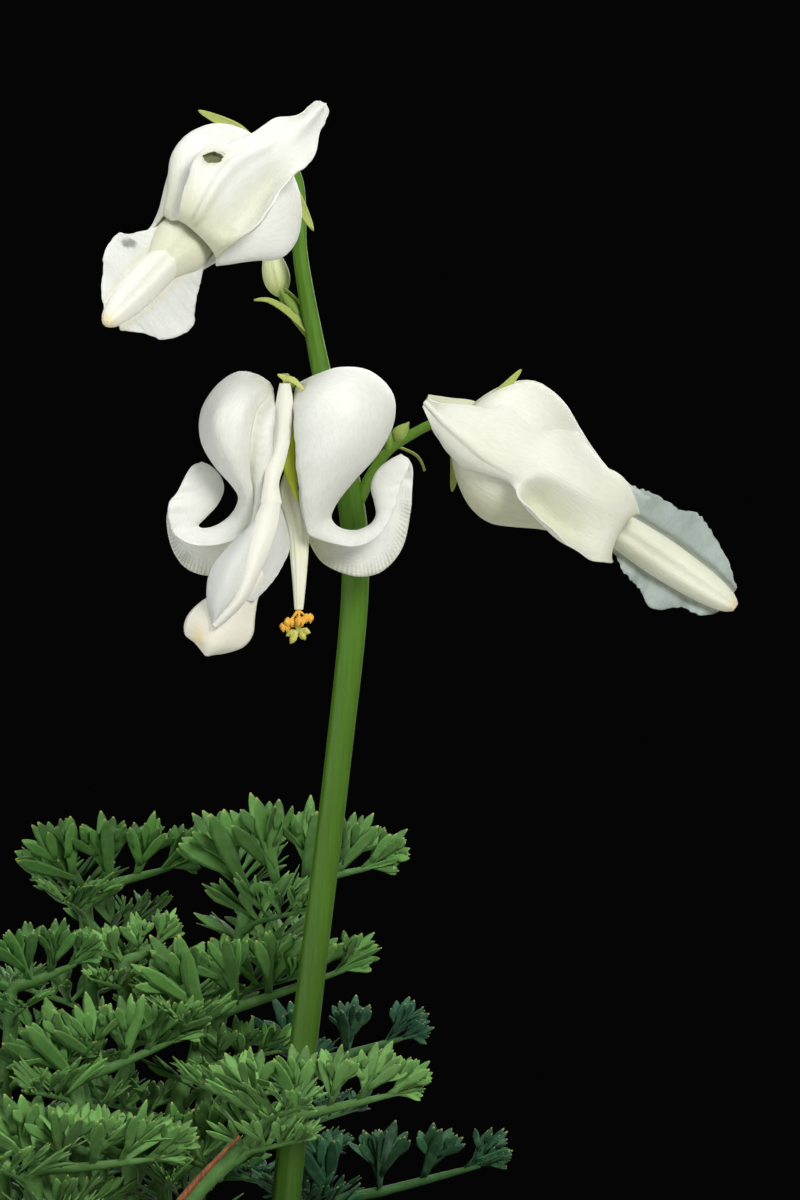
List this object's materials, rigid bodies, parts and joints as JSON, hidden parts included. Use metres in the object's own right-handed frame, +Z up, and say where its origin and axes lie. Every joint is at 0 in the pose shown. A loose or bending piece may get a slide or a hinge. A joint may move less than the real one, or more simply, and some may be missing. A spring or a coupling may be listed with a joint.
{
  "type": "potted bleeding heart plant",
  "caption": "Potted fringed bleeding heart: white heart-shaped blooms on a leaning stem above finely cut blue-green leaves, in a plain clay pot.",
  "frame": {"origin": "centre of the pot's flat base, on the surface it stands on", "axes": "+Z up, the blooms face -Y, the stem leans towards +X"},
  "size_m": [0.1394, 0.1435, 0.2751],
  "materials": {
    "clay": "matte",
    "earth": "matte",
    "stem": "satin",
    "petal": "satin",
    "ovary": "satin",
    "filament": "satin",
    "anther": "matte",
    "stigma": "matte",
    "leaf": "matte",
    "dried": "matte"
  },
  "bodies": {
    "root": {"pot": "clay", "soil": "earth", "flower_stem": "stem", "top_bloom_near_petal": "petal", "top_bloom_far_petal": "petal", "top_bloom_inner_petals": "petal", "right_bloom_near_petal": "petal", "right_bloom_far_petal": "petal", "right_bloom_inner_petals": "petal", "central_bloom_right_petal": "petal", "central_bloom_left_petal": "petal", "central_bloom_inner_petals": "petal", "white_bud": "petal", "central_bloom_ovary": "ovary", "central_bloom_stamen_column": "filament", "central_bloom_anthers": "anther", "central_bloom_stigma": "stigma", "leaf_back_left": "leaf", "leaf_back_middle": "leaf", "leaf_centre": "leaf", "leaf_young": "leaf", "leaf_left": "leaf", "leaf_front_left": "leaf", "leaf_middle_left": "leaf", "leaf_middle_front": "leaf", "leaf_front_right": "leaf", "leaf_right": "leaf", "leaf_far_back": "leaf", "leaf_ring_1": "leaf", "leaf_ring_2": "leaf", "leaf_ring_3": "leaf", "leaf_ring_4": "leaf", "leaf_ring_5": "leaf", "leaf_ring_6": "leaf", "leaf_ring_7": "leaf", "leaf_ring_8": "leaf", "leaf_ring_9": "leaf", "leaf_ring_10": "leaf", "leaf_ring_11": "leaf", "dried_leaf_stalk": "dried"}
  },
  "joints": []
}
